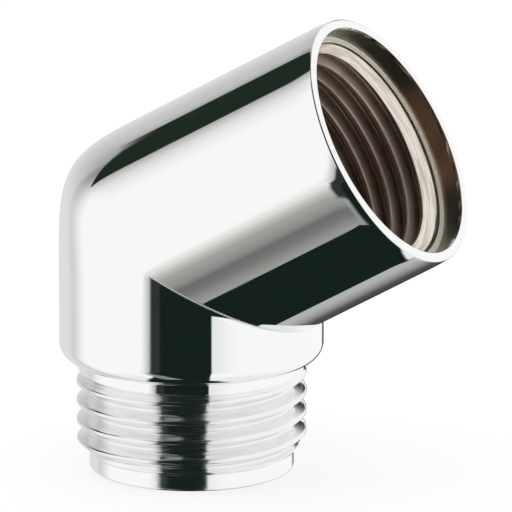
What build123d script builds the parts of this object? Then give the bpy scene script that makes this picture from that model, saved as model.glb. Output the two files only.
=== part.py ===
import os
from math import cos, radians, sin, sqrt, tan
from build123d import *

os.makedirs("parts", exist_ok=True)

# Half-inch parallel pipe thread, shared by the male end and the socket
pitch = 1.814
major_d = 20.955
minor_d = 18.631
root_flat = pitch / 6
thread_angle_deg = 55.0
cut_clearance = 0.2

# Outside form: the body stands on its male end, and the arm leans towards +X
body_d = 24.0
bend_deg = 60.0
elbow_z = 21.1
arm_length = 22.3
bend_sharpness = 0.27
shoulder_z = 10.3
shoulder_round = 1.4
crease_round = 1.0
rim_round = 0.25

# Male end; the first crest's height is taken on the arm's side
lead_d = 18.56
lead_length = 1.5
lead_edge = 0.25
start_chamfer = 1.25
male_crest_end = 8.9
neck_d = 20.6
collar_gap = 0.02
runout_start = 8.0
runout_end = 9.3
male_turn_deg = 40.0
male_thread_end = 9.6
first_crest_z = 1.56

# Socket in the arm's mouth, depths from the mouth face
counterbore_d = 22.05
counterbore_depth = 2.1
step_d = 21.06
step_length = 0.3
entry_cone = 0.85
socket_depth = 13.0
relief_d = 21.4
relief_length = 1.6
relief_cone = 0.6
relief_gap = 0.05
mouth_edge = 0.1
female_turn_deg = 100.0

# Water passage
male_bore_d = 14.0
arm_bore_d = 13.0
bore_edge = 0.4
drill_tip_deg = 118.0
bore_past_centre = 3.6

# Derived sizes
body_r = body_d / 2
major_r = major_d / 2
minor_r = minor_d / 2
bend = radians(bend_deg)
centre = Vector(0, 0, elbow_z)
arm_dir = Vector(sin(bend), 0, cos(bend))
arm_frame = Plane(origin=centre, x_dir=(-cos(bend), 0, sin(bend)), z_dir=arm_dir)

# Working allowances: how far blanks and cutters reach past what they trim, and when two planes count as one
reach = 2 * body_d
overshoot = 1.0
same_plane = 1e-6


def turned(points, arcs=()):
    # A solid turned about Z from an outline of radius and height pairs, with rounded corners where asked
    outline = make_face(Polyline(*[(r, 0, z) for r, z in points], close=True))
    for r, z, size in arcs:
        corner = outline.vertices().sort_by_distance((r, 0, z))[0]
        outline = fillet(corner, size)
    return revolve(outline, Axis.Z, 360)


def beyond(normal):
    # Everything on the far side of a plane through the elbow centre
    slab = Box(2 * reach, 2 * reach, reach, align=(Align.CENTER, Align.CENTER, Align.MIN))
    return Plane(origin=centre, x_dir=(0, 1, 0), z_dir=normal) * slab


# Planes of the bend: the mitre, and the two that close the rounded outer part
mitre_normal = Vector(sin(bend), 0, 1 + cos(bend))
lower_normal = Vector(bend_sharpness * sin(bend), 0, 1 + bend_sharpness * cos(bend))
upper_normal = Vector(sin(bend), 0, cos(bend) + bend_sharpness)

# Upright body, from the shoulder up to the bend
upright_top = elbow_z + body_d
body_profile = [(0, shoulder_z), (body_r, shoulder_z), (body_r, upright_top), (0, upright_top)]
upright = Rot(0, 0, 180) * turned(body_profile, [(body_r, shoulder_z, shoulder_round)])
upright = upright - beyond(mitre_normal) - beyond(lower_normal)

# Arm, from the bend out to the mouth
arm_profile = [(0, -body_d), (body_r, -body_d), (body_r, arm_length), (0, arm_length)]
arm = arm_frame * turned(arm_profile, [(body_r, arm_length, rim_round)])
arm = arm - beyond(-mitre_normal) - beyond(-upper_normal)

# Rounded outer part of the bend: an ellipsoid that meets both cylinders smoothly
along = body_r / sqrt(1 + bend_sharpness * (1 + cos(bend)) / (1 - bend_sharpness))
outward = body_r / sqrt(1 - bend_sharpness * (1 - cos(bend)) / (1 + bend_sharpness))
ball = scale(Sphere(1), by=(outward, body_r, along))
bend_frame = Plane(origin=centre, x_dir=(-cos(bend / 2), 0, sin(bend / 2)), z_dir=mitre_normal)
bend_round = (bend_frame * ball) - beyond(-lower_normal) - beyond(upper_normal)


def skin(piece, normals):
    # The faces of a piece, without the flat ones that only divide it from its neighbours
    kept = []
    for face in piece.faces():
        flat = face.geom_type == GeomType.PLANE
        facing = face.normal_at(face.center())
        if flat and any(abs(abs(facing.dot(n.normalized())) - 1) < same_plane for n in normals):
            continue
        kept.append(face)
    return kept


# One skin for body, bend and arm, so that the bend has no dividing wall inside it
skins = skin(upright, [mitre_normal, lower_normal])
skins += skin(arm, [mitre_normal, upper_normal])
skins += skin(bend_round, [lower_normal, upper_normal])
outside = Solid(Shell(skins))
crease = outside.edges().sort_by_distance(centre + Vector(body_r, 0, -body_r * tan(bend / 2)))[0]
outside = fillet(crease, crease_round)


def cut_thread(solid, frame, inner, outer, start, stop, turn_deg):
    # Take a right-hand groove out of a solid, one turn of a coiled trapezium bar after another
    (inner_r, inner_half), (outer_r, outer_half) = inner, outer
    points = [(inner_r, -inner_half), (inner_r, inner_half), (outer_r, outer_half), (outer_r, -outer_half)]
    section = make_face(Polyline(*[(r, 0, z) for r, z in points], close=True))
    one_turn = sweep(section, path=Helix(pitch, pitch, (inner_r + outer_r) / 2), is_frenet=True)
    height = start
    while height < stop:
        solid = solid - frame * Pos(0, 0, height) * Rot(0, 0, turn_deg) * one_turn
        height += pitch
    return solid


# Male end: a turned blank, with the thread cut in it and a cone where the thread runs out
flank_slope = tan(radians(thread_angle_deg / 2))
lead_r = lead_d / 2
neck_r = neck_d / 2
blank_top = shoulder_z + shoulder_round
blank_profile = [(0, 0), (lead_r - lead_edge, 0), (lead_r, lead_edge), (lead_r, lead_length)]
blank_profile += [(major_r, lead_length + start_chamfer), (major_r, male_crest_end)]
blank_profile += [(neck_r, male_crest_end + major_r - neck_r), (neck_r, blank_top), (0, blank_top)]
male_outer_r = major_r + cut_clearance
male_root = (minor_r, root_flat / 2)
male_outer = (male_outer_r, root_flat / 2 + (male_outer_r - minor_r) * flank_slope)
male_start = first_crest_z + pitch * (male_turn_deg / 360 - 1.5)
blank = turned(blank_profile)
threaded = cut_thread(
    blank, Plane.XY, male_root, male_outer, male_start, male_thread_end, male_turn_deg
)
collar_r = neck_r + collar_gap
collar_profile = [(0, runout_start), (lead_r, runout_start), (collar_r, runout_end)]
collar_profile += [(collar_r, blank_top), (0, blank_top)]
male_end = threaded + turned(collar_profile)

# Water passage: one hole up the male end and one down the arm, each with a drill's cone at its end
tip_slope = 1 / tan(radians(drill_tip_deg / 2))
male_bore_r = male_bore_d / 2
bore_top = elbow_z + bore_past_centre
bore_profile = [(0, -overshoot), (male_bore_r + bore_edge, -overshoot), (male_bore_r + bore_edge, 0)]
bore_profile += [(male_bore_r, bore_edge), (male_bore_r, bore_top)]
bore_profile += [(0, bore_top + male_bore_r * tip_slope)]
male_bore = turned(bore_profile)

# Socket: counterbore, narrow step, lead-in cone, thread, relief and flat seat
counterbore_r = counterbore_d / 2
step_r = step_d / 2
relief_r = relief_d / 2
arm_bore_r = arm_bore_d / 2
step_top = arm_length - counterbore_depth
cone_top = step_top - step_length
seat = arm_length - socket_depth
relief_top = seat + relief_length
socket_profile = [(0, arm_length + overshoot), (counterbore_r + mouth_edge, arm_length + overshoot)]
socket_profile += [(counterbore_r + mouth_edge, arm_length), (counterbore_r, arm_length - mouth_edge)]
socket_profile += [(counterbore_r, step_top), (step_r, step_top), (step_r, cone_top)]
socket_profile += [(minor_r, cone_top - entry_cone), (minor_r, relief_top + relief_cone)]
socket_profile += [(relief_r, relief_top), (relief_r, seat), (arm_bore_r + bore_edge, seat)]
socket_profile += [(arm_bore_r, seat - bore_edge), (arm_bore_r, 0), (0, -arm_bore_r * tip_slope)]
socket = arm_frame * turned(socket_profile)
female_inner_r = minor_r - cut_clearance
female_inner = (female_inner_r, root_flat / 2 + (major_r - female_inner_r) * flank_slope)
female_root = (major_r, root_flat / 2)
female_start = seat + pitch / 2 + relief_gap

elbow_body = outside + male_end - male_bore - socket
elbow_body = cut_thread(
    elbow_body, arm_frame, female_inner, female_root, female_start, step_top, female_turn_deg
)
print("elbow_body", elbow_body.is_valid, len(elbow_body.solids()), round(elbow_body.volume, 1))
export_step(elbow_body, "parts/elbow_body.step")
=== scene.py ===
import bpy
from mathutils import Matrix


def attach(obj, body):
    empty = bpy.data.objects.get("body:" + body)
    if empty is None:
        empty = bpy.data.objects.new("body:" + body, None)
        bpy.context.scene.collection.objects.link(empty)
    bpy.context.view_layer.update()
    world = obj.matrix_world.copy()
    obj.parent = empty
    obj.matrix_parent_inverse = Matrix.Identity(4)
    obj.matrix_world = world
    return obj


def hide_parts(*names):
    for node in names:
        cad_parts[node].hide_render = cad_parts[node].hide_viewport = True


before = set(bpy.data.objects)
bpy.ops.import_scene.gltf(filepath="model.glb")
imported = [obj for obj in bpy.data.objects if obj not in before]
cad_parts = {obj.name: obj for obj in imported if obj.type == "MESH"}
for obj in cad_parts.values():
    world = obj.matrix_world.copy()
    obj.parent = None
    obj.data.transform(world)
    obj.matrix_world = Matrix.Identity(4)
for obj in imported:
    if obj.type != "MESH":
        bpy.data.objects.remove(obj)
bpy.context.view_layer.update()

import math

import bpy
import numpy as np
from mathutils import Matrix

mm = 0.001

# The elbow in millimetres, with the sizes of the solid that it stands for
elbow = {
    "bodyR": 12.0, "bendDeg": 60.0, "elbowZ": 21.1, "armLength": 22.3,
    "shoulderZ": 10.3, "shoulderRound": 1.4, "rimRound": 0.25,
    "leadR": 9.28, "leadLength": 1.5, "leadEdge": 0.25, "startChamfer": 1.25, "firstCrestZ": 1.56,
    "crestEnd": 8.9, "neckR": 10.3, "collarR": 10.32, "runoutStart": 8.0, "runoutEnd": 9.3,
    "counterboreR": 11.025, "counterboreDepth": 2.1, "mouthEdge": 0.1,
    "stepR": 10.53, "stepLength": 0.3, "entryCone": 0.85,
    "socketDepth": 13.0, "socketTurnDeg": 100.0,
    "reliefR": 10.7, "reliefLength": 1.6, "reliefCone": 0.6, "reliefGap": 0.05,
    "maleBoreR": 7.0, "armBoreR": 6.5, "boreEdge": 0.4, "maleBoreLead": 0.3, "armBoreLead": 1.0,
    # A tight bend whose ends are spread over this length; it keeps within 0.2 mm of the solid's,
    # which is looser and has sharp ends
    "bendSharpness": 0.6, "bendSoft": 2.4,
    # The crease's round, how slowly it shrinks towards the flanks, and the cosines between which
    # it also shrinks inwards, with the share that is left
    "creaseRound": 1.0, "creaseFade": 0.5, "creaseTight": (0.5, 0.9, 0.3),
    # A dull line in that round: its middle and width as shares of the turn, and the cosine from
    # which it is full
    "creaseLine": (0.8, 0.14), "creaseStart": 0.15,
    "rollLength": 2.6, "rollDrop": 0.13,  # polishing takes this much off the tube near its rim
    "softEdge": 0.05,  # small rounds that plating leaves on turned corners
    "meltEdge": 0.035,  # how softly the thread runs into its cones
    "guard": 0.03,  # spare row this close to each round, which keeps the shine beside it straight
    # Points round the tube, rows in each round, and shares of the way for rows on straight runs
    "columns": 212, "arcStepDeg": 9.0, "arcLeast": 4,
    "bendRows": 25, "bendSamples": 101, "rollRows": 20,
    "underBend": (0.2, 0.4, 0.55, 0.66, 0.75, 0.82, 0.88, 0.93, 0.965, 0.99),
    "overBend": (0.004, 0.015, 0.03, 0.05, 0.075, 0.1, 0.13, 0.17, 0.22, 0.3, 0.45, 0.6, 0.8, 0.97),
    "downArm": (0.25, 0.5, 0.75, 0.96, 1.0), "downUpright": (0.0, 0.04, 0.3, 0.6, 0.9),
}
pipeThread = {"pitch": 1.814, "majorR": 10.4775, "minorR": 9.3155, "halfAngleDeg": 27.5,
              "roundShare": 0.1373, "rowsPerPitch": 26}

# Directions: the arm leans from the upright in the XZ plane
bend = math.radians(elbow["bendDeg"])
halfTan = math.tan(bend / 2)
elbowCentre = np.array([0.0, 0.0, elbow["elbowZ"]])
armDir = np.array([math.sin(bend), 0.0, math.cos(bend)])
armOut = np.array([-math.cos(bend), 0.0, math.sin(bend)])
sideDir = np.array([0.0, 1.0, 0.0])

# Angle round the tube, from the outer side of the bend; the upright and the arm share its columns
around = (np.arange(elbow["columns"]) + 0.5) * 2 * math.pi / elbow["columns"]
cosAround = np.cos(around)
sinAround = np.sin(around)


def onUpright(radius, height):
    # Rows about the Z axis: minus radius times cosine, radius times sine, height
    radius, height, cosine, sine = np.broadcast_arrays(radius, height, cosAround, sinAround)
    return np.stack([-radius * cosine, radius * sine, height], axis=-1)


def onArm(radius, reach):
    # Rows about the arm: the elbow's centre, plus reach along the arm, plus radius out from it
    radius, reach, cosine, sine = np.broadcast_arrays(radius, reach, cosAround, sinAround)
    out = cosine[..., None] * armOut + sine[..., None] * sideDir
    return elbowCentre + reach[..., None] * armDir + radius[..., None] * out


def between(first, last, shares):
    # Rows straight from one row of points to another: the first, plus each share of the way
    return first + (last - first) * np.array(shares)[:, None, None]


def softMax(first, second, melt):
    # The larger of two heights, with a round where they cross: melt times log of the sum of
    # exponentials
    return np.logaddexp(first / melt, second / melt) * melt


def softMin(first, second, melt):
    # The smaller of two heights, rounded in the same way
    return -softMax(-first, -second, melt)


def roundedOutline(corners):
    # An outline of radius and height pairs, each corner an arc of its own radius:
    # the arc starts and ends at radius times tan of half the turn from the corner
    points = [corners[0][:2]]
    for before, here, after in zip(corners, corners[1:], corners[2:]):
        corner = np.array(here[:2])
        toBefore = np.array(before[:2]) - corner
        toAfter = np.array(after[:2]) - corner
        toBefore /= np.linalg.norm(toBefore)
        toAfter /= np.linalg.norm(toAfter)
        turn = math.pi - math.acos(np.clip(toBefore @ toAfter, -1, 1))
        back = here[2] * math.tan(turn / 2)
        bisector = (toBefore + toAfter) / np.linalg.norm(toBefore + toAfter)
        middle = corner + bisector * here[2] / math.cos(turn / 2)
        count = max(elbow["arcLeast"], int(math.degrees(turn) / elbow["arcStepDeg"]))
        step = np.linspace(0, 1, count + 1)[:, None]
        start = corner + toBefore * back - middle
        stop = corner + toAfter * back - middle
        arc = (np.sin((1 - step) * turn) * start + np.sin(step * turn) * stop) / math.sin(turn)
        points.append(tuple(corner + toBefore * (back + elbow["guard"])))
        points += [tuple(point) for point in middle + arc]
        points.append(tuple(corner + toAfter * (back + elbow["guard"])))
    points.append(corners[-1][:2])
    outline = np.array(points)
    return outline[:, :1], outline[:, 1:]


def threadRadius(offset):
    # Radius of a rounded 55-degree thread at an axial offset from its crest:
    # straight flanks, with an arc of one radius over the crest and the same in the root
    pitch = pipeThread["pitch"]
    half = math.radians(pipeThread["halfAngleDeg"])
    arcR = pipeThread["roundShare"] * pitch
    offset = np.abs((offset + pitch / 2) % pitch - pitch / 2)
    middle = (pipeThread["majorR"] + pipeThread["minorR"]) / 2
    fromFlank = pitch / 4 - offset  # over zero on the crest's side, under zero on the root's
    arcReach = arcR * math.cos(half)
    onCrest = np.minimum(offset, arcReach)
    onRoot = np.minimum(pitch / 2 - offset, arcReach)
    crest = pipeThread["majorR"] - arcR + np.sqrt(arcR ** 2 - onCrest ** 2)
    root = pipeThread["minorR"] + arcR - np.sqrt(arcR ** 2 - onRoot ** 2)
    flank = middle + fromFlank / math.tan(half)
    inRoot = pitch / 2 - offset < arcReach
    return np.where(offset < arcReach, crest, np.where(inRoot, root, flank))


def maleThreadRows():
    # Heights from the lead to the collar; the radius is the thread, cut down to the blank's
    # outline, and filled up to the run-out cone
    low = elbow["leadLength"]
    high = elbow["runoutEnd"]
    count = int((high - low) / pipeThread["pitch"] * pipeThread["rowsPerPitch"])
    height = np.linspace(low, high, count)[:, None]
    crestAngle = math.pi - around
    crestZ = elbow["firstCrestZ"] + pipeThread["pitch"] * crestAngle / (2 * math.pi)
    ridge = threadRadius(height - crestZ)
    blank = np.interp(
        height,
        [low, low + elbow["startChamfer"], elbow["crestEnd"],
         elbow["crestEnd"] + pipeThread["majorR"] - elbow["neckR"]],
        [elbow["leadR"], pipeThread["majorR"], pipeThread["majorR"], elbow["neckR"]],
    )
    runoutRise = elbow["runoutEnd"] - elbow["runoutStart"]
    runoutSlope = (elbow["collarR"] - elbow["leadR"]) / runoutRise
    fill = elbow["leadR"] + runoutSlope * (height - elbow["runoutStart"])
    radius = softMax(softMin(ridge, blank, elbow["meltEdge"]), fill, elbow["meltEdge"])
    return onUpright(radius, height)


def socketThreadRows():
    # Reaches from the entry cone down to the relief; the radius is the wider of the plain bore and
    # the thread
    top = elbow["armLength"] - elbow["counterboreDepth"] - elbow["stepLength"]
    seat = elbow["armLength"] - elbow["socketDepth"]
    bottom = seat + elbow["reliefLength"]
    count = int((top - bottom) / pipeThread["pitch"] * pipeThread["rowsPerPitch"])
    reach = np.linspace(top, bottom, count)[:, None]
    turn = math.radians(elbow["socketTurnDeg"]) + around
    grooveReach = seat + elbow["reliefGap"] + pipeThread["pitch"] * (0.5 - turn / (2 * math.pi))
    groove = threadRadius(reach - grooveReach)
    bore = np.interp(
        reach,
        [bottom, bottom + elbow["reliefCone"], top - elbow["entryCone"], top],
        [elbow["reliefR"], pipeThread["minorR"], pipeThread["minorR"], elbow["stepR"]],
    )
    return onArm(softMax(groove, bore, elbow["meltEdge"]), reach)


def bendShape():
    # Half-axes of the ellipsoid that meets both cylinders smoothly, along the mitre's normal and
    # out from it, and the angle that it is swept through on each side of its middle
    sharp = elbow["bendSharpness"]
    along = elbow["bodyR"] / math.sqrt(1 + sharp * (1 + math.cos(bend)) / (1 - sharp))
    outward = elbow["bodyR"] / math.sqrt(1 - sharp * (1 - math.cos(bend)) / (1 + sharp))
    return along, outward, math.atan2((1 - sharp) * halfTan * outward, (1 + sharp) * along)


def bendRows():
    # Outer side: part of the ellipsoid, swept from its lower to its upper plane.
    # Inner side: a small arc in the crease, whose radius fades to nothing at the flanks and is
    # small again inmost
    radius = elbow["bodyR"]
    along, outward, limit = bendShape()
    outDir = np.array([-math.cos(bend / 2), 0, math.sin(bend / 2)])
    upDir = np.array([math.sin(bend / 2), 0, math.cos(bend / 2)])
    step = np.linspace(0, 1, elbow["bendRows"])[:, None]
    swing = (2 * step - 1) * limit
    ball = (outward * np.cos(swing))[..., None] * outDir
    ball = ball + (along * np.sin(swing))[..., None] * upDir
    outer = elbowCentre + cosAround[:, None] * ball + radius * sinAround[:, None] * sideDir
    first, last, tight = elbow["creaseTight"]
    inward = np.clip((np.abs(cosAround) - first) / (last - first), 0, 1)
    arcR = elbow["creaseRound"] * np.abs(cosAround) ** elbow["creaseFade"]
    arcR = arcR * (1 - (1 - tight) * inward ** 2 * (3 - 2 * inward))
    startZ = elbow["elbowZ"] + radius * cosAround * halfTan - arcR * halfTan
    turn = step * bend
    inner = np.stack([
        -radius * cosAround + arcR * (1 - np.cos(turn)),
        np.broadcast_to(radius * sinAround, turn.shape[:1] + sinAround.shape),
        startZ + arcR * np.sin(turn),
    ], axis=-1)
    return np.where(cosAround[:, None] > 0, outer, inner)


def spreadTwice(past):
    # A step of curvature that a bell curve spreads, less the sharp step, integrated twice along the
    # sweep: half of (x squared + w squared) P - x w p, less half of x squared before the step
    width = elbow["bendSoft"]
    share = past / width
    bell = np.exp(-share ** 2 / 2) / math.sqrt(2 * math.pi)
    tail = 0.5 - 0.5 * np.vectorize(math.erf)(share / math.sqrt(2))
    return ((past ** 2 + width ** 2) * tail - past * width * bell - np.maximum(-past, 0) ** 2) / 2


def softBend(low, bent, high):
    # The skin from one row to another through the bend, sunk a little where the outer side starts
    # and stops turning: the bend's curvature times the spread at its end, less that at its start.
    # Each row's share of the dull line is a bell curve over the turn
    along, outward, limit = bendShape()
    swing = np.linspace(-limit, limit, elbow["bendSamples"])
    outSide = np.maximum(cosAround, 0)
    span = 2 * limit * np.mean(np.hypot(outward * np.sin(swing), along * np.cos(swing)))
    under = np.array(elbow["underBend"])
    over = np.array(elbow["overBend"])
    step = np.linspace(0, 1, len(bent))
    rows = np.concatenate([between(low, bent[0], under), bent, between(bent[-1], high, over)])
    past = np.concatenate([
        -(1 - under[:, None]) * np.linalg.norm(bent[0] - low, axis=-1) - span * outSide,
        -(1 - step[:, None]) * span * outSide,
        over[:, None] * np.linalg.norm(high - bent[-1], axis=-1),
    ])
    turn = np.concatenate([0 * under, step * bend, 0 * over + bend])[:, None]
    facing = np.stack([-np.cos(turn), 0 * turn, np.sin(turn)], axis=-1)
    out = outSide[:, None] * facing + sinAround[:, None] * sideDir
    sink = bend / span * (spreadTwice(past) - spreadTwice(past + span * outSide))
    lineMiddle, lineWidth = elbow["creaseLine"]
    inCrease = np.exp(-((step - lineMiddle) / lineWidth) ** 2)
    return rows - sink[..., None] * out, np.concatenate([0 * under, inCrease, 0 * over])


def elbowRows():
    # The whole skin as one closed loop of rows: out over the male end, up the outside, in at the
    # mouth and back down the water passage. Each block of rows has the number of its finish, and
    # each row has a share of the dull line in the crease
    polished, threaded, inMouth = chrome["index"], threadPlate["index"], socket["index"]
    soft = elbow["softEdge"]
    guard = elbow["guard"]
    length = elbow["armLength"]
    stepTop = length - elbow["counterboreDepth"]
    coneTop = stepTop - elbow["stepLength"]
    seat = length - elbow["socketDepth"]
    reliefTop = seat + elbow["reliefLength"]
    blocks = []
    endFace = [
        (elbow["maleBoreR"], elbow["boreEdge"] + elbow["maleBoreLead"], 0),
        (elbow["maleBoreR"], elbow["boreEdge"], soft),
        (elbow["maleBoreR"] + elbow["boreEdge"], 0, soft),
        (elbow["leadR"], 0, elbow["leadEdge"]),
        (elbow["leadR"], elbow["leadLength"] - guard, 0),
    ]
    blocks.append((threaded, onUpright(*roundedOutline(endFace))))
    blocks.append((threaded, maleThreadRows()))
    shoulder = [
        (elbow["collarR"], elbow["runoutEnd"] + guard, 0),
        (elbow["collarR"], elbow["shoulderZ"], soft),
        (elbow["bodyR"], elbow["shoulderZ"], elbow["shoulderRound"]),
        (elbow["bodyR"], elbow["shoulderZ"] + 2 * elbow["shoulderRound"], 0),
    ]
    blocks.append((polished, onUpright(*roundedOutline(shoulder))))
    rollStart = length - elbow["rollLength"]
    rollReach = np.linspace(rollStart, length - elbow["rimRound"] - 2 * guard, elbow["rollRows"])
    rollShare = (rollReach - rollStart) / elbow["rollLength"]
    rolled = elbow["bodyR"] - elbow["rollDrop"] * rollShare ** 3
    rollRows = onArm(rolled[:, None], rollReach[:, None])
    bentRows, inCrease = softBend(blocks[-1][1][-1], bendRows(), rollRows[0])
    blocks.append((polished, bentRows))
    blocks.append((polished, rollRows))
    slope = (rolled[-1] - rolled[-2]) / (rollReach[-1] - rollReach[-2])
    rim = [
        (rolled[-1], rollReach[-1], 0),
        (rolled[-1] + slope * (length - rollReach[-1]), length, elbow["rimRound"]),
        (elbow["counterboreR"], length, elbow["mouthEdge"]),
        (elbow["counterboreR"], length - 3 * elbow["mouthEdge"], 0),
    ]
    rimRadius, rimReach = roundedOutline(rim)
    blocks.append((polished, onArm(rimRadius[1:], rimReach[1:])))
    entry = [
        (elbow["counterboreR"], length - 4 * elbow["mouthEdge"], 0),
        (elbow["counterboreR"], stepTop, soft),
        (elbow["stepR"], stepTop, soft),
        (elbow["stepR"], coneTop + guard, 0),
    ]
    blocks.append((inMouth, onArm(*roundedOutline(entry))))
    blocks.append((inMouth, socketThreadRows()))
    inner = [
        (elbow["reliefR"], reliefTop - guard, 0),
        (elbow["reliefR"], seat, soft),
        (elbow["armBoreR"] + elbow["boreEdge"], seat, soft),
        (elbow["armBoreR"], seat - elbow["boreEdge"], soft),
        (elbow["armBoreR"], seat - elbow["armBoreLead"], 0),
    ]
    innerRows = onArm(*roundedOutline(inner))
    blocks.append((inMouth, innerRows))
    # The two holes meet in the mitre
    armMitre = onArm(elbow["armBoreR"], -elbow["armBoreR"] * cosAround * halfTan)
    mitreZ = elbow["elbowZ"] + elbow["maleBoreR"] * cosAround * halfTan
    uprightMitre = onUpright(elbow["maleBoreR"], mitreZ)
    blocks.append((inMouth, between(innerRows[-1], armMitre, elbow["downArm"])))
    blocks.append((inMouth, between(uprightMitre, blocks[0][1][0], elbow["downUpright"])))
    dullShare = [inCrease if rows is bentRows else np.zeros(len(rows)) for finish, rows in blocks]
    return blocks, np.concatenate(dullShare)


def buildElbow():
    # The rows as a grid that closes on itself both ways, four corners to a face
    blocks, inCrease = elbowRows()
    points = np.concatenate([rows for finish, rows in blocks])
    finishes = np.concatenate([np.full(len(rows), finish) for finish, rows in blocks])
    rowCount, columnCount = points.shape[:2]
    row, column = np.meshgrid(np.arange(rowCount), np.arange(columnCount), indexing="ij")
    nextRow = (row + 1) % rowCount
    nextColumn = (column + 1) % columnCount
    corners = [row * columnCount + column, row * columnCount + nextColumn]
    corners += [nextRow * columnCount + nextColumn, nextRow * columnCount + column]
    faces = np.stack(corners, axis=-1).reshape(-1, 4)
    mesh = bpy.data.meshes.new("elbow_skin")
    mesh.from_pydata(points.reshape(-1, 3) * mm, [], faces)
    faceFinish = np.repeat(finishes, columnCount).astype(np.int32)
    mesh.polygons.foreach_set("material_index", faceFinish)
    mesh.polygons.foreach_set("use_smooth", np.ones(len(faces), bool))
    # Place along and round the turned axis, for finishes that follow the lathe's marks
    flat = points.reshape(-1, 3)
    reach = (flat - elbowCentre) @ armDir
    out = (flat - elbowCentre) @ armOut
    onUprightSide = np.repeat(finishes != socket["index"], columnCount)
    turned = np.where(
        onUprightSide[:, None],
        flat,
        np.stack([-out, flat[:, 1], elbow["armLength"] - reach], axis=-1),
    )
    attribute = mesh.attributes.new("turned", "FLOAT_VECTOR", "POINT")
    attribute.data.foreach_set("vector", (turned * mm).astype(np.float32).ravel())
    # The line along the crease that the polishing wheel doesn't reach
    inward = np.minimum(np.maximum(-cosAround, 0) / elbow["creaseStart"], 1)
    crease = inCrease[:, None] * inward
    attribute = mesh.attributes.new("crease", "FLOAT", "POINT")
    attribute.data.foreach_set("value", crease.astype(np.float32).ravel())
    mesh.update()
    print("elbow skin:", rowCount, "rows,", columnCount, "columns,", 2 * len(faces), "triangles")
    return mesh


# Finishes: colours are linear and lengths in metres. Smooth, dull and rough are roughness, a range
# is the stretch of a noise that counts, and a least share is what is left at its low end
chrome = {
    "index": 0, "colour": (0.93, 0.935, 0.93), "smooth": 0.015, "dull": 0.05, "creaseDull": 0.75,
    "hazeScale": 220.0, "hazeDetail": 4.0, "hazeRange": (0.4, 0.75),
    "ripple": 0.00000035, "rippleScale": 320.0, "rippleDetail": 1.0,
}
threadPlate = {
    "index": 1, "colour": (0.93, 0.935, 0.93), "smooth": 0.05, "dull": 0.16,
    "wornColour": (0.86, 0.865, 0.855), "wornFoot": (0.0014, 0.0022), "wornHead": (0.0086, 0.0094),
    "wornRange": (0.35, 0.65), "wornLeast": 0.5,
    "lineStretch": (260.0, 260.0, 9000.0), "lineDetail": 3.0, "lineDepth": 0.000006,
    "lineRange": (0.35, 0.7),
}
socket = {
    "index": 2,
    # The wall's colour is painted shade inside the mouth, and the red colour a reddish-brown patch
    # on the wall's sides
    "wallShadeColour": (0.21, 0.235, 0.195), "wallRough": 0.30, "wallDepth": (0.00198, 0.00205),
    "redColour": (0.74, 0.53, 0.39), "redMiddle": 0.0020, "redReach": (0.0031, 0.0059),
    "redRange": (0.3, 0.6), "redLeast": 0.7,
    # The ledge's near-white colour is a painted highlight, lighter than the nickel beside it
    "ledgeHighlightColour": (1.0, 0.95, 0.88), "ledgeRough": 0.85, "ledgeDepth": (0.00203, 0.00217),
    "ledgeSoft": 0.00004,
    "nickelColour": (0.80, 0.74, 0.66), "nickelRough": (0.17, 0.25), "nickelEnd": (0.0033, 0.0037),
    "wornColour": (0.60, 0.54, 0.47), "wornRange": (0.40, 0.62),
    # The brass colour is bare brass, darkened further as painted shade deep in the socket
    "brassAndShadeColour": (0.41, 0.31, 0.25), "brassRough": (0.44, 0.60),
    "stainScale": 260.0, "stainDetail": 5.0, "stainRange": (0.3, 0.7), "stainLeast": 0.75,
    "lineStretch": (300.0, 300.0, 9000.0), "lineDetail": 3.0, "lineDepth": 0.0000015,
    "lineRange": (0.35, 0.7),
}


def newMaterial(name):
    # A metal with its own node tree; returns the material, its tree and its shader
    material = bpy.data.materials.new(name)
    material.use_nodes = True
    shader = material.node_tree.nodes["Principled BSDF"]
    shader.inputs["Metallic"].default_value = 1.0
    return material, material.node_tree, shader


def addNode(tree, kind, inputs=None, **settings):
    # A node with its settings and inputs; an input is a value, or a socket to link
    node = tree.nodes.new(kind)
    for name, value in settings.items():
        setattr(node, name, value)
    for name, value in (inputs or {}).items():
        if isinstance(value, bpy.types.NodeSocket):
            tree.links.new(value, node.inputs[name])
        else:
            node.inputs[name].default_value = value
    return node


def mathNode(tree, operation, first, second=0.0):
    # One arithmetic step; returns its socket
    return addNode(tree, "ShaderNodeMath", {0: first, 1: second}, operation=operation).outputs[0]


def rampNode(tree, value, low, high, atLow=0.0, atHigh=1.0, smooth=True):
    # A value carried from one range to another, with soft ends
    kind = "SMOOTHSTEP" if smooth else "LINEAR"
    inputs = {"Value": value, "From Min": low, "From Max": high, "To Min": atLow, "To Max": atHigh}
    return addNode(tree, "ShaderNodeMapRange", inputs, interpolation_type=kind).outputs[0]


def mixLevel(tree, share, first, second):
    # First value where the share is 0, second where it is 1, straight in between
    return rampNode(tree, share, 0, 1, first, second, smooth=False)


def noiseNode(tree, place, scale, detail):
    # Soft noise at a place; returns its socket
    inputs = {"Vector": place, "Scale": scale, "Detail": detail}
    return addNode(tree, "ShaderNodeTexNoise", inputs).outputs[0]


def product(tree, *shares):
    # All the shares multiplied together
    result = shares[0]
    for share in shares[1:]:
        result = mathNode(tree, "MULTIPLY", result, share)
    return result


def mixColour(tree, share, first, second):
    # First colour where the share is 0, second where it is 1; sockets 0, 6, 7 and output 2 are the
    # mix node's share, its two colours and the result
    node = addNode(tree, "ShaderNodeMix", {0: share}, data_type="RGBA")
    for place, value in ((6, first), (7, second)):
        if isinstance(value, bpy.types.NodeSocket):
            tree.links.new(value, node.inputs[place])
        else:
            node.inputs[place].default_value = (*value, 1.0)
    return node.outputs[2]


def finishMetal(tree, shader, dull, height, depth):
    # Roughness, and a bump that stands a height's share of the depth
    bump = addNode(tree, "ShaderNodeBump", {"Height": height, "Distance": depth})
    tree.links.new(dull, shader.inputs["Roughness"])
    tree.links.new(bump.outputs[0], shader.inputs["Normal"])


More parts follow.
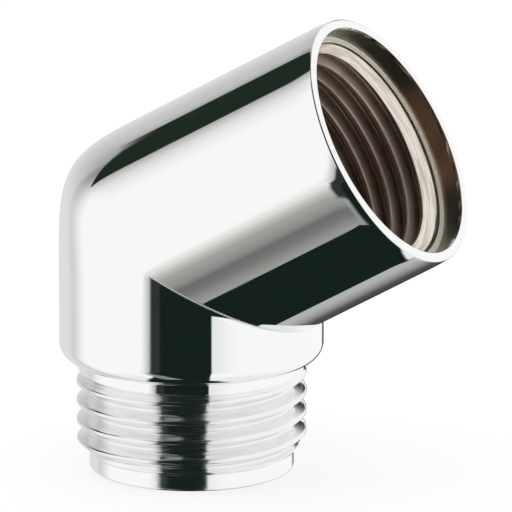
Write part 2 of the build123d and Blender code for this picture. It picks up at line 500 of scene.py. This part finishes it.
def chromeMaterial():
    # Mirror plate: haze varies with a soft noise, the crease is left dull, and a very shallow
    # ripple keeps edges from being perfect
    material, tree, shader = newMaterial("polishedChrome")
    place = addNode(tree, "ShaderNodeTexCoord").outputs["Object"]
    haze = noiseNode(tree, place, chrome["hazeScale"], chrome["hazeDetail"])
    dull = rampNode(tree, haze, *chrome["hazeRange"], chrome["smooth"], chrome["dull"])
    crease = addNode(tree, "ShaderNodeAttribute", attribute_name="crease").outputs["Fac"]
    dull = mixLevel(tree, crease, dull, chrome["creaseDull"])
    ripple = noiseNode(tree, place, chrome["rippleScale"], chrome["rippleDetail"])
    shader.inputs["Base Color"].default_value = (*chrome["colour"], 1.0)
    finishMetal(tree, shader, dull, ripple, chrome["ripple"])
    return material


def turnedPlace(tree):
    # Place about the turned axis: two ways across it, and along it
    return addNode(tree, "ShaderNodeAttribute", attribute_name="turned").outputs["Vector"]


def latheLines(tree, place, finish):
    # Noise drawn out round the axis, so that it reads as fine turning marks
    inputs = {0: place, 1: finish["lineStretch"]}
    stretched = addNode(tree, "ShaderNodeVectorMath", inputs, operation="MULTIPLY").outputs[0]
    return noiseNode(tree, stretched, 1.0, finish["lineDetail"])


def threadMaterial():
    # The same plate over turned flanks: fine lines round the axis, a little duller, and worn on the
    # thread
    material, tree, shader = newMaterial("turnedChrome")
    place = turnedPlace(tree)
    lines = latheLines(tree, place, threadPlate)
    height = addNode(tree, "ShaderNodeSeparateXYZ", {0: place}).outputs[2]
    worn = product(
        tree,
        rampNode(tree, height, *threadPlate["wornFoot"]),
        rampNode(tree, height, *threadPlate["wornHead"], 1.0, 0.0),
        rampNode(tree, lines, *threadPlate["wornRange"], threadPlate["wornLeast"], 1.0),
    )
    colour = mixColour(tree, worn, threadPlate["colour"], threadPlate["wornColour"])
    tree.links.new(colour, shader.inputs["Base Color"])
    ends = threadPlate["smooth"], threadPlate["dull"]
    dull = rampNode(tree, lines, *threadPlate["lineRange"], *ends)
    finishMetal(tree, shader, dull, lines, threadPlate["lineDepth"])
    return material


def socketMaterial():
    # Inside the mouth: a wall darkened with painted shade and a reddish-brown patch on its sides, a
    # ledge lightened as a painted highlight, bright nickel on the cone below it, then bare stained
    # brass that painted shade darkens further
    material, tree, shader = newMaterial("platedBrassPaintedShadeAndHighlight")
    place = turnedPlace(tree)
    aside, _, depth = addNode(tree, "ShaderNodeSeparateXYZ", {0: place}).outputs
    lines = latheLines(tree, place, socket)
    stain = noiseNode(tree, place, socket["stainScale"], socket["stainDetail"])
    onWall = rampNode(tree, depth, *socket["wallDepth"], 1.0, 0.0)
    low, high = socket["ledgeDepth"]
    onLedge = product(
        tree,
        rampNode(tree, depth, low, low + socket["ledgeSoft"]),
        rampNode(tree, depth, high - socket["ledgeSoft"], high, 1.0, 0.0),
    )
    deepShare = rampNode(tree, depth, *socket["nickelEnd"])
    patchy = rampNode(tree, stain, *socket["stainRange"], socket["stainLeast"], 1.0)
    fromRed = mathNode(tree, "ABSOLUTE", mathNode(tree, "SUBTRACT", aside, socket["redMiddle"]))
    reddish = product(
        tree,
        rampNode(tree, stain, *socket["redRange"], socket["redLeast"], 1.0),
        rampNode(tree, fromRed, *socket["redReach"], 1.0, 0.0),
    )
    worn = rampNode(tree, lines, *socket["wornRange"])
    nickel = mixColour(tree, worn, socket["nickelColour"], socket["wornColour"])
    # Past the nickel's end: bare brass, darkened further as painted shade
    colour = mixColour(tree, product(tree, deepShare, patchy), nickel, socket["brassAndShadeColour"])
    # The wall: dark with painted shade, reddish-brown in a patch on its sides
    wall = mixColour(tree, reddish, socket["wallShadeColour"], socket["redColour"])
    colour = mixColour(tree, onWall, colour, wall)
    # The ledge: a painted highlight
    colour = mixColour(tree, onLedge, colour, socket["ledgeHighlightColour"])
    tree.links.new(colour, shader.inputs["Base Color"])
    nickelRough = rampNode(tree, lines, *socket["lineRange"], *socket["nickelRough"])
    brassRough = rampNode(tree, lines, *socket["lineRange"], *socket["brassRough"])
    dull = rampNode(tree, deepShare, 0, 1, nickelRough, brassRough)
    dull = rampNode(tree, onWall, 0, 1, dull, socket["wallRough"])
    dull = rampNode(tree, onLedge, 0, 1, dull, socket["ledgeRough"])
    finishMetal(tree, shader, dull, lines, socket["lineDepth"])
    return material


mesh = buildElbow()
for material in (chromeMaterial(), threadMaterial(), socketMaterial()):
    mesh.materials.append(material)
elbowSkin = bpy.data.objects.new("elbow_skin", mesh)
bpy.context.scene.collection.objects.link(elbowSkin)
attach(elbowSkin, "root")
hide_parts("elbow_body")
print("elbow finished with", len(mesh.materials), "metals")

# Camera: angles in degrees, its distance and aim in millimetres, the aim right and up of a point on
# the upright's axis; near and far limits in metres
view = {"azimuth": 22.2, "elevation": 14.66, "distance": 1000.0,
        "aimHeight": 20.0, "aimRight": 5.86, "aimUp": -0.42,
        "focalPixels": 11046.0, "imagePixels": 512.0, "sensor": 36.0, "near": 0.01, "far": 20.0}
turnAngle = math.radians(view["azimuth"])
riseAngle = math.radians(view["elevation"])
# Level from the part to the camera, to its right, and along and across the view line
viewFront = np.array([math.sin(turnAngle), -math.cos(turnAngle), 0.0])
viewRight = np.array([math.cos(turnAngle), math.sin(turnAngle), 0.0])
viewBack = viewFront * math.cos(riseAngle) + np.array([0.0, 0.0, math.sin(riseAngle)])
viewUp = np.cross(viewBack, viewRight)


def placeCamera():
    # The camera stands back from its aim along the view line, its sides along right, up and back
    aim = np.array([0.0, 0.0, view["aimHeight"]])
    aim = aim + viewRight * view["aimRight"] + viewUp * view["aimUp"]
    place = aim + viewBack * view["distance"]
    data = bpy.data.cameras.new("camera")
    data.sensor_width = view["sensor"]
    data.lens = view["focalPixels"] / view["imagePixels"] * view["sensor"]
    data.clip_start = view["near"]
    data.clip_end = view["far"]
    camera = bpy.data.objects.new("camera", data)
    matrix = np.eye(4)
    matrix[:3, :3] = np.stack([viewRight, viewUp, viewBack], axis=1)
    matrix[:3, 3] = place * mm
    camera.matrix_world = Matrix(matrix.tolist())
    bpy.context.scene.collection.objects.link(camera)
    bpy.context.scene.camera = camera
    print("camera at", np.round(place, 1), "lens", round(data.lens, 1))


# What the metal mirrors: a white tent, open in front and below in one dark slit, with a grey wall
# behind its left side, a dark seam over that wall, shade on the ground beside and behind the slit,
# and a dim far end on the right. Angles are in degrees: azimuth to the right of the camera and rise
# above level, or pitch over the top and side angle to the right. A pair of angles is a soft edge,
# a list of pairs is stops along an angle, and levels are linear
tent = {
    "white": 1.0, "tint": (0.994, 1.0, 0.995), "dark": (0.0080, 0.0160, 0.0118),
    "glow": (0.030, 0.036, 0.032), "floorRise": (-60.0, -30.0), "floorLevel": 0.88,
    "frontPitch": 90.0,  # beyond this, a direction lies behind the part
    "wall": {
        "right": -103.0, "edge": -127.0, "left": -135.0,
        "edgeRise": (-2.0, 30.0), "edgeLevel": (0.665, 0.36),
        "leftRise": (-8.0, 32.0), "leftLevel": (0.76, 0.52),
    },
    "seam": {
        "colour": (0.0140, 0.0245, 0.0165), "left": -143.2, "right": -115.3, "soft": 0.6,
        "crown": (-131.6, 29.1), "bow": 0.025, "softArch": 0.4,
        "shadeRise": (17.0, 36.0), "shadeAzimuth": (-121.0, -83.0), "shadeLeft": (-152.0, -144.0),
        "shadeLevel": 0.60,
    },
    "slit": {
        "left": ((110.0, -10.7), (46.0, -32.9), (-18.5, -34.5), (-22.0, -37.0), (-27.0, -35.0),
                 (-33.0, -29.5), (-78.0, -24.0), (-140.0, -4.0)),
        "right": ((110.0, 5.3), (41.0, 14.3), (-14.66, 17.4), (-71.0, 10.8), (-80.0, 14.0),
                  (-111.0, 14.0), (-112.0, 2.0)),
        "softLeft": 1.6, "softRight": 0.9, "top": (110.0, 120.0), "back": (-150.0, -142.0),
        "glow": (7.0, 9.5), "glowPitch": (20.0, 40.0), "middle": -9.0, "shadeRise": (-19.0, -15.5),
        "shadeLeft": (-43.5, -34.5, 0.55), "shadeRight": (14.0, 44.0, 0.84),
    },
    "ground": {
        "tint": (0.975, 1.0, 0.955), "middle": ((-17.0, -44.7), (-60.5, -12.4)),
        "left": (-8.0, -2.0), "right": (5.0, 12.0), "rise": (-18.0, -15.0), "start": (-36.5, -32.0),
        "end": ((-10.5, -57.0), (-12.5, -60.5)), "soft": 0.5,
        "stops": ((-12.0, 1.0), (-17.0, 0.89), (-20.0, 0.77), (-24.0, 0.54), (-28.0, 0.39),
                  (-36.0, 0.285), (-40.5, 0.165), (-46.0, 0.195), (-57.0, 0.35)),
    },
    "behind": {
        "pitch": -108.0, "left": (-3.0, 3.0), "right": (15.0, 21.0),
        "stops": ((-28.0, 0.055), (-40.0, 0.086), (-44.0, 0.16), (-52.0, 0.33), (-60.0, 0.47)),
    },
    "far": {
        "left": (5.0, 9.0), "right": (19.0, 28.0), "low": (7.5, 9.5),
        "stops": ((36.0, 1.0), (28.0, 0.76), (23.0, 0.60), (20.0, 0.33), (17.0, 0.14),
                  (13.0, 0.045)),
    },
}


def throughStops(tree, angle, stops):
    # A value carried straight from stop to stop; the stops run downwards. It is the first value,
    # plus each stretch's change times the share of that stretch already passed
    value = stops[0][1]
    for (high, before), (low, after) in zip(stops, stops[1:]):
        change = rampNode(tree, angle, low, high, after - before, 0.0, smooth=False)
        value = mathNode(tree, "ADD", change, value)
    return value


def wallLevel(tree, azimuth, rise):
    # Level of the white tent and its grey wall: the wall is darkest along its edge and dims as it
    # rises, and is shaded once more beside the seam
    wall = tent["wall"]
    edge = rampNode(tree, rise, *wall["edgeRise"], *wall["edgeLevel"])
    left = rampNode(tree, rise, *wall["leftRise"], *wall["leftLevel"])
    level = rampNode(tree, azimuth, wall["left"], wall["edge"], left, edge)
    level = rampNode(tree, azimuth, wall["edge"], wall["right"], level, tent["white"])
    seam = tent["seam"]
    shade = product(
        tree,
        rampNode(tree, rise, *seam["shadeRise"]),
        rampNode(tree, azimuth, *seam["shadeAzimuth"], 1.0, 0.0),
        rampNode(tree, azimuth, *seam["shadeLeft"]),
    )
    return product(tree, level, mixLevel(tree, shade, 1.0, seam["shadeLevel"]))


def seamMask(tree, azimuth, rise):
    # A dark band over the wall, between a left and a right end and above an arch: crown rise less
    # bow times the squared azimuth from the crown
    seam = tent["seam"]
    left, right, soft = seam["left"], seam["right"], seam["soft"]
    fromCrown = mathNode(tree, "SUBTRACT", azimuth, seam["crown"][0])
    sag = product(tree, fromCrown, fromCrown, seam["bow"])
    overArch = mathNode(tree, "ADD", mathNode(tree, "SUBTRACT", rise, seam["crown"][1]), sag)
    return product(
        tree,
        rampNode(tree, overArch, -seam["softArch"], seam["softArch"]),
        rampNode(tree, azimuth, left - soft, left + soft),
        rampNode(tree, azimuth, right - soft, right + soft, 1.0, 0.0),
    )


def slitMasks(tree, side, pitch):
    # From overhead, down the front and under to the back: 1 between a left and a right edge that
    # follow the pitch. The second share is a faint glow just inside the left edge
    slit = tent["slit"]
    fromLeft = mathNode(tree, "SUBTRACT", side, throughStops(tree, pitch, slit["left"]))
    fromRight = mathNode(tree, "SUBTRACT", throughStops(tree, pitch, slit["right"]), side)
    inSlit = product(
        tree,
        rampNode(tree, fromLeft, -slit["softLeft"], slit["softLeft"]),
        rampNode(tree, fromRight, -slit["softRight"], slit["softRight"]),
        rampNode(tree, pitch, *slit["back"]),
        rampNode(tree, pitch, *slit["top"], 1.0, 0.0),
    )
    glow = product(
        tree,
        rampNode(tree, fromLeft, *slit["glow"], 1.0, 0.0),
        rampNode(tree, pitch, *slit["glowPitch"], 1.0, 0.0),
        mathNode(tree, "GREATER_THAN", pitch, tent["ground"]["start"][0]),
    )
    return inSlit, glow


def groundMask(tree, side, pitch, rise):
    # A shaded patch of ground that runs in under the part from the left, as far as an end that
    # follows the side
    ground = tent["ground"]
    fromMiddle = mathNode(tree, "SUBTRACT", side, throughStops(tree, pitch, ground["middle"]))
    fromEnd = mathNode(tree, "SUBTRACT", pitch, throughStops(tree, side, ground["end"]))
    return product(
        tree,
        rampNode(tree, fromMiddle, *ground["left"]),
        rampNode(tree, fromMiddle, *ground["right"], 1.0, 0.0),
        rampNode(tree, fromEnd, -ground["soft"], ground["soft"]),
        rampNode(tree, rise, *ground["rise"], 1.0, 0.0),
        mathNode(tree, "LESS_THAN", pitch, 0.0),
    )


def behindMask(tree, side, pitch):
    # The ground behind the part, right of the slit
    behind = tent["behind"]
    return product(
        tree,
        rampNode(tree, side, *behind["left"]),
        rampNode(tree, side, *behind["right"], 1.0, 0.0),
        mathNode(tree, "LESS_THAN", pitch, behind["pitch"]),
    )


def farMask(tree, side, pitch, rise):
    # The tent's dim far end: behind the part, between two sides on the right, and above a low edge
    far = tent["far"]
    steep = mathNode(tree, "ABSOLUTE", pitch)
    return product(
        tree,
        rampNode(tree, side, *far["left"]),
        rampNode(tree, side, *far["right"], 1.0, 0.0),
        rampNode(tree, rise, *far["low"]),
        mathNode(tree, "GREATER_THAN", steep, tent["frontPitch"]),
    )


def besideLevel(tree, side, pitch, rise):
    # Soft shade on the white cloth on both sides of the slit, in front and above the ground
    slit = tent["slit"]
    level = mixLevel(
        tree,
        mathNode(tree, "LESS_THAN", side, slit["middle"]),
        rampNode(tree, side, *slit["shadeRight"], 1.0),
        rampNode(tree, side, *slit["shadeLeft"][:2], 1.0, slit["shadeLeft"][2]),
    )
    steep = mathNode(tree, "ABSOLUTE", pitch)
    inFront = mathNode(tree, "LESS_THAN", steep, tent["frontPitch"])
    share = product(tree, inFront, rampNode(tree, rise, *slit["shadeRise"]))
    return mixLevel(tree, share, 1.0, level)


def alongNode(tree, ray, direction):
    # How far a ray runs along a direction: their dot product
    inputs = {0: ray, 1: tuple(direction)}
    return addNode(tree, "ShaderNodeVectorMath", inputs, operation="DOT_PRODUCT").outputs["Value"]


def angleNode(tree, operation, first, second=0.0):
    # An angle by one of the arc functions, in degrees
    return mathNode(tree, "MULTIPLY", mathNode(tree, operation, first, second), 180.0 / math.pi)


def tentColour(tree):
    # Colour seen in each direction: angles of the ray, then the wall, the ground, the far end, the
    # seam and the slit in turn
    ray = addNode(tree, "ShaderNodeTexCoord").outputs["Generated"]
    toRight = alongNode(tree, ray, viewRight)
    toFront = alongNode(tree, ray, viewFront)
    upward = addNode(tree, "ShaderNodeSeparateXYZ", {0: ray}).outputs[2]
    azimuth = angleNode(tree, "ARCTAN2", toRight, toFront)
    rise = angleNode(tree, "ARCSINE", upward)
    pitch = angleNode(tree, "ARCTAN2", upward, toFront)
    side = angleNode(tree, "ARCSINE", toRight)
    level = product(
        tree,
        wallLevel(tree, azimuth, rise),
        besideLevel(tree, side, pitch, rise),
        rampNode(tree, rise, *tent["floorRise"], tent["floorLevel"], 1.0),
    )
    onGround = groundMask(tree, side, pitch, rise)
    level = mixLevel(tree, onGround, level, throughStops(tree, rise, tent["ground"]["stops"]))
    shadow = throughStops(tree, rise, tent["behind"]["stops"])
    level = mixLevel(tree, behindMask(tree, side, pitch), level, shadow)
    dim = throughStops(tree, rise, tent["far"]["stops"])
    level = mixLevel(tree, farMask(tree, side, pitch, rise), level, dim)
    inputs = {0: mixColour(tree, onGround, tent["tint"], tent["ground"]["tint"]), "Scale": level}
    grey = addNode(tree, "ShaderNodeVectorMath", inputs, operation="SCALE").outputs[0]
    colour = mixColour(tree, seamMask(tree, azimuth, rise), grey, tent["seam"]["colour"])
    inSlit, glow = slitMasks(tree, side, pitch)
    overSlit = product(tree, onGround, rampNode(tree, pitch, *tent["ground"]["start"], 1.0, 0.0))
    inSlit = product(tree, inSlit, mathNode(tree, "SUBTRACT", 1.0, overSlit))
    return mixColour(tree, inSlit, colour, mixColour(tree, glow, tent["dark"], tent["glow"]))


# Floor and lamp: lengths in metres, power in watts, levels linear
studio = {
    "floorColour": (0.35, 0.35, 0.35), "floorRough": 0.9, "floorLift": 0.685, "floorHalf": 3.0,
    "lampSize": 0.5, "lampPower": 0.5, "lampPlace": (-0.35, -0.25, 0.7), "skyLight": 0.95,
}


def buildWorld():
    # White to the camera, the tent to mirror rays, plain even light to everything else
    world = bpy.data.worlds.new("tent")
    bpy.context.scene.world = world
    world.use_nodes = True
    tree = world.node_tree
    background = tree.nodes["Background"]
    path = addNode(tree, "ShaderNodeLightPath")
    white = (tent["white"],) * 3
    even = (studio["skyLight"],) * 3
    mirrored = mixColour(tree, path.outputs["Is Glossy Ray"], even, tentColour(tree))
    mirrored = mixColour(tree, path.outputs["Is Transmission Ray"], mirrored, white)
    seen = mixColour(tree, path.outputs["Is Camera Ray"], mirrored, white)
    tree.links.new(seen, background.inputs["Color"])
    background.inputs["Strength"].default_value = 1.0


def buildFloor():
    # A wide pale square; it lifts to white for the camera and still takes the part's shadow
    half = studio["floorHalf"]
    corners = [(-half, -half, 0), (half, -half, 0), (half, half, 0), (-half, half, 0)]
    ground = bpy.data.meshes.new("floor")
    ground.from_pydata(corners, [], [(0, 1, 2, 3)])
    material = bpy.data.materials.new("paleFloor")
    material.use_nodes = True
    tree = material.node_tree
    shader = tree.nodes["Principled BSDF"]
    shader.inputs["Base Color"].default_value = (*studio["floorColour"], 1.0)
    shader.inputs["Roughness"].default_value = studio["floorRough"]
    shader.inputs["Specular IOR Level"].default_value = 0.0
    shader.inputs["Emission Color"].default_value = (1.0, 1.0, 1.0, 1.0)
    path = addNode(tree, "ShaderNodeLightPath")
    lift = mathNode(tree, "MULTIPLY", path.outputs["Is Camera Ray"], studio["floorLift"])
    tree.links.new(lift, shader.inputs["Emission Strength"])
    ground.materials.append(material)
    floor = bpy.data.objects.new("floor", ground)
    floor.visible_glossy = False  # the metal mirrors the tent instead
    bpy.context.scene.collection.objects.link(floor)


def buildLamp():
    # One soft lamp above and to the left, only for the shadow's direction; it is tipped and turned
    # to face the part
    data = bpy.data.lights.new("softLamp", "AREA")
    data.size = studio["lampSize"]
    data.energy = studio["lampPower"]
    lamp = bpy.data.objects.new("softLamp", data)
    lamp.location = studio["lampPlace"]
    toPart = -np.array(studio["lampPlace"])
    tip = math.atan2(math.hypot(toPart[0], toPart[1]), -toPart[2])
    turn = math.atan2(toPart[1], toPart[0]) - math.pi / 2
    lamp.rotation_euler = (tip, 0.0, turn)
    lamp.visible_glossy = False
    bpy.context.scene.collection.objects.link(lamp)


placeCamera()
buildWorld()
buildFloor()
buildLamp()
bpy.context.scene.view_settings.view_transform = "Standard"
print("tent, floor and lamp in place")
